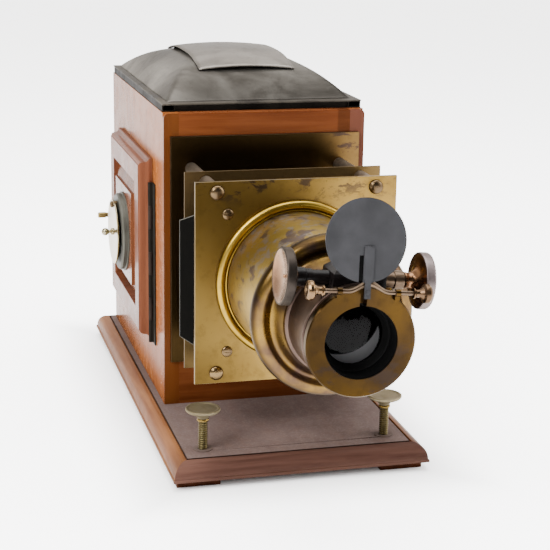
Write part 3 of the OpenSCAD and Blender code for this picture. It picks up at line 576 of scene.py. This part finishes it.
# Black lining of the tube and lens cell, and also the painted shadow behind the flasher's slot.
inside_black_and_shadow = black_paint("inside_black_and_shadow", (9, 9, 9), 0.6, 0.05)
clear_glass = glass("clear_glass", (0.93, 0.98, 0.97), ior=1.35)
lens_glass = coated_lens("lens_glass")
dark_glass = glass("dark_glass", (0.34, 0.27, 0.20), 0.04)
# The rear lens is tinted nearly black, painted shade: it stands in for the dark inside of the lamp house.
rear_glass_painted_dark = glass("rear_glass_painted_dark", (0.03, 0.03, 0.03), 0.05, 1.1)

CAD_LOOKS = {
    "base_board": base_wood, "base_moulding": base_side_wood, "base_feet": back_wood,
    "screw_bushes": dusty_bush, "side_board_left": side_wood, "side_board_right": right_wood,
    "front_rails": front_wood, "front_panel": front_wood, "back_frame": back_wood,
    "tin_lining": black_tin, "tray_runners": back_wood,
    "back_plate": back_brass, "middle_plate": mid_brass, "front_plate": plate_brass,
    "stage_pillars": pillar_brass, "pillar_heads": head_brass, "guide_pins": steel,
    "guide_screws": head_brass,
    "pressure_plate": pressure_black, "stage_springs": steel, "condenser_cell": barrel_brass,
    "condenser_rings": barrel_brass, "condenser_lens_rear": clear_glass,
    "condenser_lens_front": clear_glass,
    "tube_flange": ring_brass, "front_tube": tube_brass, "tube_shoulder": shoulder_brass,
    "lens_jacket": barrel_brass, "pinion_housing": housing_black, "lens_tube": inside_black_and_shadow,
    "focus_rack": gear_brass, "lens_hood": hood_brass, "front_lens": lens_glass,
    "rear_lens": rear_glass_painted_dark,
    "focus_pinion": gear_brass, "focus_knobs": knob_brass, "flasher_lugs": hood_brass,
    "flasher_rod": rod_metal, "flasher_nuts": nut_brass, "flasher_disc": blade,
    "roof_dome": roof_tin, "roof_frame": frame_tin, "roof_cap": roof_tin, "cap_posts": black_tin,
    "door_frame": door_wood, "door_moulding": door_wood, "door_panel": panel_wood,
    "door_hinge_leaf": hinge_brown, "body_hinge_leaf": hinge_black, "hinge_pin": steel,
    "door_latch": small_brass, "sight_bezel": bezel_zinc, "sight_glass": dark_glass,
    "sight_pivot": head_brass, "sight_cover": cover_brass,
    "screw_shank_left": screw_brass, "screw_head_left": screw_brass,
    "screw_shank_right": screw_brass, "screw_head_right": screw_brass,
}
# Width in mm of each rounded edge
EASED = {
    "base_board": 0.5, "base_feet": 0.6, "side_board_left": 0.7, "side_board_right": 0.7,
    "back_frame": 0.6, "back_plate": 0.2, "middle_plate": 0.2, "front_plate": 0.2, "door_frame": 0.4,
    "pressure_plate": 0.3, "sight_cover": 0.5,
}
# Rounded edges with a look of their own, worn or bright
EDGES = {
    "back_plate": dim_edge, "middle_plate": dim_edge, "front_plate": edge_brass,
    "pressure_plate": worn_black, "sight_cover": small_brass,
}

for node, look in CAD_LOOKS.items():
    dress(NODES[node].data, look.material)
    if node in EASED:
        soften(NODES[node], EASED[node], weld=True)
    if node in EDGES:
        NODES[node].data.materials.append(EDGES[node].material)
        NODES[node].modifiers["edges"].material = 1


# ---- stage ----

def stage_springs():
    """Coil springs on the guide pins, at one fixed length."""
    start, end = reach("stage_springs")
    pin_d = 5
    pin = (size("guide_pins").x - pin_d) / 2
    turns, steps, coil_r, wire_r = 9, 22, 4.1, 0.6
    count = turns * steps
    for i, (sx, sy) in enumerate(((-1, -1), (1, -1), (1, 1), (-1, 1))):
        path = []
        for k in range(count + 1):
            a = tau * k / steps
            z = start + wire_r + (end - start - 2 * wire_r) * k / count
            out = Vector((cos(a), sin(a), 0))
            path.append((out * coil_r + Vector((sx * pin, sy * pin, z)), out, Vector((0, 0, 1))))
        spring = sweep(f"stage_spring_{i + 1}", path, circle(wire_r, 8), steel.material, "lantern", STAGE)
        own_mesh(spring)
        if i == 0:
            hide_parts("stage_springs")


# ---- tube and lens mount ----

def flange_ring():
    """A broad bead and a fine one, round the tube where it meets the front plate."""
    start = reach("tube_flange")[0]
    outer_r, tube_r = size("tube_flange").x / 2, size("front_tube").x / 2
    outline = [(tube_r, start), (outer_r - 0.3, start), (outer_r, start + 0.6)]
    outline += arc(outer_r - 3.2, start + 2.2, 3.2, 0, 160, 18)
    outline += [(tube_r + 2.0, start + 1.9)]
    outline += arc(tube_r + 1.0, start + 2.4, 1.0, 20, 160)
    outline += [(tube_r, start + 2.2)]
    ring = lathe("flange_ring", outline, STAGE, ring_brass.material, "lantern")
    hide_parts("tube_flange")


def shoulder():
    """The spun step between the wide tube and the lens barrel: a full roll, a hollow and a neck."""
    start, end = reach("tube_shoulder")
    tube_r = size("front_tube").x / 2
    roll_r, roll_at, neck_r, sag, steps = 7.0, 50.6, 37.4, 4.6, 20
    outline = [(tube_r - 1, start + 4), (tube_r, start + 4), (tube_r, start), (tube_r + 1.4, start)]
    outline += arc(roll_at, start + 11.2, roll_r, -70, 100, 26)
    lip_r, lip_z = outline[-1]
    for i in range(1, steps + 1):
        t = i / steps
        hollow_z = lip_z + (end - 2.4 - lip_z) * t - sag * sin(pi * t) ** 1.3
        outline.append((lip_r + (neck_r + 0.6 - lip_r) * t, hollow_z))
    outline += [(neck_r, end - 1.2), (neck_r, end), (neck_r - 2, end), (neck_r - 2, start + 7)]
    outline += [(tube_r - 4, start + 7)]
    body = lathe("shoulder", outline, STAGE, shoulder_brass.material, "lantern",
                 around=144, sharp=50)
    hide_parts("tube_shoulder")


def barrel_details():
    """Bright neck ring, dark groove and inner rings of the lens barrel."""
    hood_start, hood_end = reach("lens_hood")
    neck = reach("tube_shoulder")[1]
    jacket_r, ring_r, bore, cell_start, cell_end = 35.5, 37.5, 24.6, 234.9, 240.5
    ring = rounded([(jacket_r, neck - 0.1), (ring_r, neck - 0.1, 0.4), (ring_r, neck + 0.9, 0.5),
                    (ring_r - 1.1, neck + 1.6, 0.4), (jacket_r, neck + 1.8)])
    lathe("neck_ring", ring, MOUNT, nut_brass.material, "lantern")

    def band(name, inner, outer, start, end, gap=None):
        outline = [(inner, start), (outer, start), (outer, end), (inner, end)]
        lathe(name, outline, MOUNT, inside_black_and_shadow.material, "lens", gap=gap)

    band("hood_groove", 34.7, 35.3, hood_start + 9.1, hood_start + 10.3)
    cell = rounded([(20.2, cell_start, 0.4), (bore - 0.1, cell_start), (bore - 0.1, cell_end),
                    (bore - 1.4, cell_end, 0.6), (21.2, cell_start + 1.5, 0.5)])
    lathe("lens_cell_ring", cell, MOUNT, inside_black_and_shadow.material, "lens")
    # The lining is open where the blade of the flasher goes into the hood
    band("hood_lining", bore - 0.35, bore - 0.02, cell_end + 0.1, hood_end - 1.2, gap=(94.7, 11.5))


def knobs():
    """Dished thumb knobs with a bell shaped inner side and a plain rim, whose tone is painted reflection:
    dark on the left, pale on the right.
    """
    back, front = reach("focus_knobs")
    centre_z, knob_r = (front + back) / 2, (front - back) / 2
    height = Vector(JOINTS["focus_turn"]["pos_m"]) / MM - AXIS_POINT
    pinion_h = sqrt(height.x ** 2 + height.z ** 2)
    start, end, rim = 34.4, 50.6, 44.2
    bell = [(knob_r - 1 - (knob_r - 6) * cos(a), start + 2.6 + (rim - start - 2.8) * sin(a))
            for a in (radians(90 * i / 12) for i in range(1, 12))]
    dish = [((knob_r - 1.7) * (1 - t) + 1.3 * t, end - 0.1 - 3.2 * sin(radians(90 * t)))
            for t in (i / 12 for i in range(1, 13))]
    outline = [(0.01, start), (5.2, start), (5.5, start + 0.6), (5.1, start + 2.4)] + bell
    outline += [(knob_r - 0.9, rim), (knob_r - 0.9, end - 0.5), (knob_r - 1.2, end - 0.1)] + dish
    outline += [(1.0, end - 2.6), (0.6, end - 2.2), (0.01, end - 2.1)]
    band = rounded([(knob_r - 1.1, rim - 0.3), (knob_r - 0.3, rim - 0.3, 0.4), (knob_r, rim + 0.6, 0.5),
                    (knob_r, end - 1, 0.6), (knob_r - 0.6, end, 0.5), (knob_r - 1.5, end - 0.1)])
    for side, name in ((-1, "left"), (1, "right")):
        place = turned_to_x(local(MOUNT, 0, pinion_h, centre_z), side)
        knob = lathe(f"knob_{name}", outline, place, knob_brass.material, "pinion",
                     around=72)
        # The rim's tone is painted reflection: dark on the left knob, pale on the right.
        look = rim_painted_dark if side < 0 else rim_painted_pale
        lathe(f"knob_rim_{name}", band, place, look.material, "pinion", around=96)
        if side < 0:
            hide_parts("focus_knobs")
            hub = rounded([(5.1, 33.9), (6.3, 33.9, 0.5), (6.3, 42.6, 0.6), (5.1, 42.6)])
            lathe("knob_hub", hub, place, housing_black.material, "pinion", around=48)
        else:
            sleeve = rounded([(4.9, 19.2), (5.5, 19.2, 0.5), (5.5, 26.6, 0.3), (6.2, 26.9, 0.3),
                              (6.2, 33.5, 0.5), (4.9, 33.5)])
            lathe("pinion_sleeve", sleeve, place, rod_metal.material, "lantern", around=64)


def flasher():
    """The bowed rod, thickest at its middle, and a black backing behind the slot of the disc, a painted
    shadow.
    """
    tilt = 12
    stem_x, rod_r, bow_x, bow_rise = -1.8, 1.5, 14, 5.2
    rod_end = size("flasher_rod").x / 2
    pivot = Matrix.Translation(Vector(JOINTS["flasher_swing"]["pos_m"]))
    place = pivot @ MOUNT.to_3x3().to_4x4() @ Matrix.Rotation(radians(-tilt), 4, "X")
    count, around = 80, 20
    points = []
    for k in range(count + 1):
        x = rod_end * (2 * k / count - 1)
        bow = (1 + cos(pi * x / bow_x)) / 2 if abs(x) < bow_x else 0
        points += [(x, bow_rise * bow + y, z) for y, z in circle(rod_r + 0.6 * bow, around)]
    faces = skin(count + 1, around) + end_faces(count + 1, around)
    rod = piece("flasher_bow", points, faces, rod_metal.material, "flasher", place, 50)
    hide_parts("flasher_rod")
    # A black strip behind the slot of the disc: a painted shadow, seen through the slot.
    block("slot_painted_shadow", (stem_x - 7, 7, rod_r - 0.6), (stem_x - 2.6, 23.8, rod_r - 0.05),
          inside_black_and_shadow.material, "flasher", place, 0.1)


# ---- roof ----

CORNERS = ((1, -1), (1, 1), (-1, 1), (-1, -1))
ROOF_MID_Y = middle("roof_dome").y
DOME_RISE = size("roof_dome").z
RIM_Z = low("roof_dome").z


def soft_min(a, b, softness):
    overlap = max(softness - abs(a - b), 0) / softness
    return min(a, b) - overlap * overlap * softness / 4


def dome_height(x, y):
    """Two crossed arches with soft hips, the fuller one across the house."""
    half_x, half_y = size("roof_dome").x / 2, size("roof_dome").y / 2
    across = 1 - abs(x / half_x) ** 3.4
    along = 1 - abs((y - ROOF_MID_Y) / half_y) ** 2.2
    return RIM_Z + DOME_RISE * max(soft_min(across, along, 0.12), 0)


def sheet_metal(name, xs, ys, height, thick, material, body, hole=None):
    """A grid of points at a height, given a thickness downwards.

    hole: half widths along X and Y of an opening, and its middle along Y.
    """
    points = [(x, y, height(x, y)) for y in ys for x in xs]
    faces = []
    wide = len(xs)
    for j in range(len(ys) - 1):
        for i in range(wide - 1):
            mid_x, mid_y = (xs[i] + xs[i + 1]) / 2, (ys[j] + ys[j + 1]) / 2
            if hole and abs(mid_x) < hole[0] and abs(mid_y - hole[2]) < hole[1]:
                continue
            faces.append((j * wide + i, j * wide + i + 1, (j + 1) * wide + i + 1, (j + 1) * wide + i))
    obj = piece(name, points, faces, material, body, sharp=60)
    solid = obj.modifiers.new("thickness", "SOLIDIFY")
    solid.thickness = thick * MM
    solid.offset = -1
    return obj


def spread(start, end, count, crowd=0.0):
    """Points from start to end, crowded towards both ends."""
    points = []
    for i in range(count + 1):
        t = i / count
        eased = (1 - cos(pi * t)) / 2
        points.append(start + (end - start) * (t * (1 - crowd) + eased * crowd))
    return points


def roof():
    lo, hi = low("roof_dome"), high("roof_dome")
    cap_lo, cap_hi = low("roof_cap"), high("roof_cap")
    cap_mid, cap_half = (cap_lo.y + cap_hi.y) / 2, (cap_hi.x - cap_lo.x) / 2
    dome = sheet_metal("dome", spread(lo.x, hi.x, 72, 0.7), spread(lo.y, hi.y, 84, 0.2), dome_height, 1.0,
                       roof_tin.material, "roof", hole=(28, 50, cap_mid))
    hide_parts("roof_dome")

    def cap_height(x, y):
        """Top of the cap, which arches a little across and is dented at one place."""
        dent = 0.5 * exp(-((x - 14) ** 2 + (y - cap_mid + 30) ** 2) / 500)
        return dome_height(0, y) + 4.4 - 2.6 * (x / cap_half) ** 2 - dent

    cap = sheet_metal("cap", spread(cap_lo.x, cap_hi.x, 24), spread(cap_lo.y, cap_hi.y, 36), cap_height, 1.1,
                      cap_tin.material, "roof")
    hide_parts("roof_cap")
    post_r = 2
    post_x, post_y = high("cap_posts").x - post_r, size("cap_posts").y / 2 - post_r
    for i, (sx, sy) in enumerate(CORNERS):
        x, y = sx * post_x, cap_mid + sy * post_y
        foot, top = dome_height(x, y) - 1.5, cap_height(x, y) - 1.4
        outline = [(0.01, foot), (post_r, foot), (post_r, top), (0.01, top)]
        post = lathe(f"cap_post_{i + 1}", outline, local(ROW, x, y), black_tin.material, "roof",
                     around=20)
        if i == 0:
            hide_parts("cap_posts")


# ---- wood ----

def moulding(node, strips, wide, tall, section, body, place):
    """Mitred strips round a rectangle, given as (name, side, look).

    Side 0 is at local +X, 1 at +Y, 2 at -X and 3 at -Y.
    """
    for name, side, look in strips:
        path = []
        for sx, sy in (CORNERS[side], CORNERS[(side + 1) % 4]):
            corner = Vector((sx * wide / 2, sy * tall / 2, 0))
            path.append((corner, Vector((sx, sy, 0)), Vector((0, 0, 1))))
        sweep(f"{node}_{name}", path, section, look.material, body, place)


def base_moulding():
    """A thumb moulding over a small foot, with a quirk beside the board."""
    lo, hi = low("base_moulding"), high("base_moulding")
    board = size("base_board")
    wide, tall = low("base_board").x - lo.x, hi.z - lo.z
    section = [(0, 0), (wide - 1.4, 0), (wide - 0.3, 0.5), (wide, 1.4), (wide - 0.2, 2.5), (wide - 1.0, 2.9)]
    for i in range(17):
        a = radians(90 * i / 16)
        section.append((wide - 1.0 - (wide - 3.0) * (1 - cos(a)), 3.0 + (tall - 3.2) * sin(a)))
    section += [(1.7, tall), (1.1, tall - 0.3), (0.9, tall - 1.3), (0.1, tall - 1.3)]
    strips = (("front", 3, base_front_wood), ("right", 0, base_side_wood),
              ("back", 1, base_front_wood), ("left", 2, base_side_wood))
    place = local(ROW, 0, middle("base_board").y, lo.z)
    moulding("base_moulding", strips, board.x, board.y, section, "lantern", place)
    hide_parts("base_moulding")


def door_moulding():
    """The ogee round the door's frame."""
    frame_size, centre = size("door_frame"), middle("door_frame")
    wide = (size("door_moulding").y - frame_size.y) / 2
    tall = frame_size.x
    quarter = [radians(90 * i / 9) for i in range(10)]
    section = [(0, 0), (wide, 0), (wide, 2.4), (wide - 0.5, 2.9)]
    section += [(wide - 0.7 - 2.5 * sin(a), 6.4 - 3.3 * cos(a)) for a in quarter]
    section += [(wide - 3.4 - 1.7 * (1 - cos(a)), 6.8 + 3.4 * sin(a)) for a in quarter[1:]]
    section += [(0.3, tall - 0.5), (0, tall - 0.7)]
    strips = (("front", 0, door_wood), ("top", 1, door_rail_wood),
              ("back", 2, door_wood), ("bottom", 3, door_rail_wood))
    # local X towards the front, Y up, Z out of the left side
    place = frame_matrix(Vector((0, -1, 0)), Vector((0, 0, 1)),
                         Vector((high("door_frame").x, centre.y, centre.z)))
    moulding("door_moulding", strips, frame_size.y, frame_size.z, section, "door", place)
    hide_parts("door_moulding")


# ---- levelling screws ----

def screw_thread(side, place):
    """A shank with one thread cut into it, which runs out at both ends."""
    lo, hi = low(f"screw_shank_{side}"), high(f"screw_shank_{side}")
    pitch, depth, around, rows_per_turn, tip_r, tip_tall = 1.7, 0.8, 40, 8, 2.3, 1.4
    start, end = lo.z + tip_tall, low(f"screw_head_{side}").z - 0.2
    shank_r = (hi.x - lo.x) / 2
    rows = round((end - start) / pitch * rows_per_turn)
    points = []
    for k in range(rows + 1):
        z = start + (end - start) * k / rows
        cut = depth * min(1, (z - start) / 1.5, (end - z) / 1.2)
        for i in range(around):
            turn = ((z - lo.z) / pitch - i / around) % 1
            ridge = 1 - abs(2 * turn - 1)
            r = shank_r - cut * (1 - min(1, ridge * 1.5))
            points.append((r * cos(tau * i / around), r * sin(tau * i / around), z))
    faces = skin(rows + 1, around)
    tip = len(points)
    points += [(x, y, lo.z) for x, y in circle(tip_r, around)]
    faces += [(tip + i, tip + (i + 1) % around, (i + 1) % around, i) for i in range(around)]
    faces.append(tuple(tip + i for i in range(around)))
    faces.append(tuple(rows * around + i for i in range(around)))
    shank = piece(f"screw_thread_{side}", points, faces, screw_brass.material, f"screw_{side}", place, 50)
    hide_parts(f"screw_shank_{side}")


def screw_head(side, place):
    """A shallow dished head over a bell, and the bright collar under it."""
    node = f"screw_head_{side}"
    z, top_z, r = low(node).z, high(node).z, size(node).x / 2
    collar = rounded([(3.0, z - 1.6), (4.3, z - 1.6, 0.4), (4.6, z - 0.6, 0.4), (4.2, z + 0.4, 0.3),
                      (3.0, z + 0.5)])
    lathe(f"screw_collar_{side}", collar, place, collar_brass.material, f"head_{side}",
          around=48)
    outline = rounded([(0.01, z), (3.7, z, 0.3), (5.0, z + 2.6, 0.8), (6.8, z + 4.2, 1.2),
                       (r - 2.0, top_z - 3.2, 1.0), (r - 0.3, top_z - 2.2, 0.5), (r, top_z - 1.6, 0.3),
                       (r, top_z - 0.3, 0.3), (r - 0.5, top_z, 0.3), (r - 1.5, top_z - 0.1, 0.4),
                       (r - 2.6, top_z - 0.7, 0.6), (0.01, top_z - 0.9)])
    head = lathe(f"screw_top_{side}", outline, place, screw_top_brass.material, f"head_{side}",
                 around=80)
    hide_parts(f"screw_head_{side}")


def levelling_screws():
    for side in ("left", "right"):
        centre = middle(f"screw_shank_{side}")
        place = local(ROW, centre.x, centre.y)
        screw_thread(side, place)
        screw_head(side, place)


stage_springs()
flange_ring()
shoulder()
barrel_details()
knobs()
flasher()
roof()
base_moulding()
door_moulding()
levelling_screws()


# ---- floor, light and camera ----

# The floor is lit from below as well, like a white studio table, but not under the base.
FLOOR_GLOW = 3.2
# One strength for all lamps and the room
LIGHT = 1.8


def floor():
    half = 6.0
    mesh = bpy.data.meshes.new("floor")
    mesh.from_pydata([(-half, -half, 0), (half, -half, 0), (half, half, 0), (-half, half, 0)],
                     [], [(0, 1, 2, 3)])
    obj = bpy.data.objects.new("floor", mesh)
    bpy.context.scene.collection.objects.link(obj)
    p = Paint("floor_white", Roughness=0.9, Specular_IOR_Level=0.1)
    edges = []
    for axis, lo, hi in zip("XY", low("base_moulding"), high("base_moulding")):
        offset = p.sum("SUBTRACT", p.axis(axis), (lo + hi) / 2 * MM)
        edges.append(p.sum("SUBTRACT", p.sum("ABSOLUTE", offset, 0.0), (hi - lo) / 2 * MM))
    p.put(p.shader, "Emission Strength", p.ramp(p.sum("MAXIMUM", *edges), -0.02, 0.06, 0.0, FLOOR_GLOW))
    p.color(p.mix(p.noise(2.0, 3), (0.90, 0.90, 0.90), (0.93, 0.93, 0.93)))
    mesh.materials.append(p.material)


def softbox(name, spot, target, width, height, watts):
    light = bpy.data.lights.new(name, "AREA")
    light.shape = "RECTANGLE"
    light.size, light.size_y = width, height
    light.energy = watts * LIGHT
    obj = bpy.data.objects.new(name, light)
    obj.location = spot
    obj.rotation_euler = (Vector(target) - Vector(spot)).to_track_quat("-Z", "Y").to_euler()
    bpy.context.scene.collection.objects.link(obj)


def sky():
    """A pale room: bright behind the lantern, darker behind the camera, overhead and far to the left."""
    world = bpy.data.worlds.new("room")
    bpy.context.scene.world = world
    world.use_nodes = True
    tree = world.node_tree
    background = tree.nodes["Background"]
    where = tree.nodes.new("ShaderNodeTexCoord")
    split = tree.nodes.new("ShaderNodeSeparateXYZ")
    tree.links.new(where.outputs["Generated"], split.inputs[0])
    ranges = []
    for axis, *limits in (("Y", -0.6, 0.3, 0.12 * LIGHT, 2.0 * LIGHT), ("Z", 0.25, 0.7, 1.0, 0.4),
                          ("X", -0.95, -0.3, 0.55, 1.0)):
        n = tree.nodes.new("ShaderNodeMapRange")
        n.interpolation_type = "SMOOTHSTEP"
        tree.links.new(split.outputs[axis], n.inputs["Value"])
        for socket, v in zip(RANGE_SOCKETS, limits):
            n.inputs[socket].default_value = v
        ranges.append(n.outputs[0])
    strength = ranges[0]
    for factor in ranges[1:]:
        product = tree.nodes.new("ShaderNodeMath")
        product.operation = "MULTIPLY"
        tree.links.new(strength, product.inputs[0])
        tree.links.new(factor, product.inputs[1])
        strength = product.outputs[0]
    tree.links.new(strength, background.inputs["Strength"])
    background.inputs["Color"].default_value = (1.0, 0.965, 0.93, 1)


def camera():
    """A long lens in front of the lantern, to its left and above the roof."""
    yaw, pitch, roll = radians(14.89), radians(14.93), radians(0.94)
    spot = Vector((-287.66, -1117.67, 432.37)) * MM
    ahead = Vector((sin(yaw) * cos(pitch), cos(yaw) * cos(pitch), -sin(pitch)))
    right = Vector((cos(yaw), -sin(yaw), 0))
    up = right.cross(ahead)
    right_rolled = right * cos(roll) + up * sin(roll)
    up_rolled = up * cos(roll) - right * sin(roll)
    data = bpy.data.cameras.new("camera")
    data.sensor_width = 36
    data.lens = 97.2
    data.clip_start = 0.05
    obj = bpy.data.objects.new("camera", data)
    obj.matrix_world = Matrix((right_rolled, up_rolled, -ahead)).transposed().to_4x4()
    obj.matrix_world.translation = spot
    bpy.context.scene.collection.objects.link(obj)
    bpy.context.scene.camera = obj


floor()
sky()
softbox("key", (-1.3, -1.0, 1.5), (0, -0.05, 0.12), 1.2, 1.2, 60)
softbox("top", (0.1, 0.1, 1.7), (0, 0.0, 0.1), 1.6, 1.6, 40)
softbox("fill", (1.4, -0.7, 0.9), (0, -0.1, 0.12), 0.9, 1.2, 20)
camera()
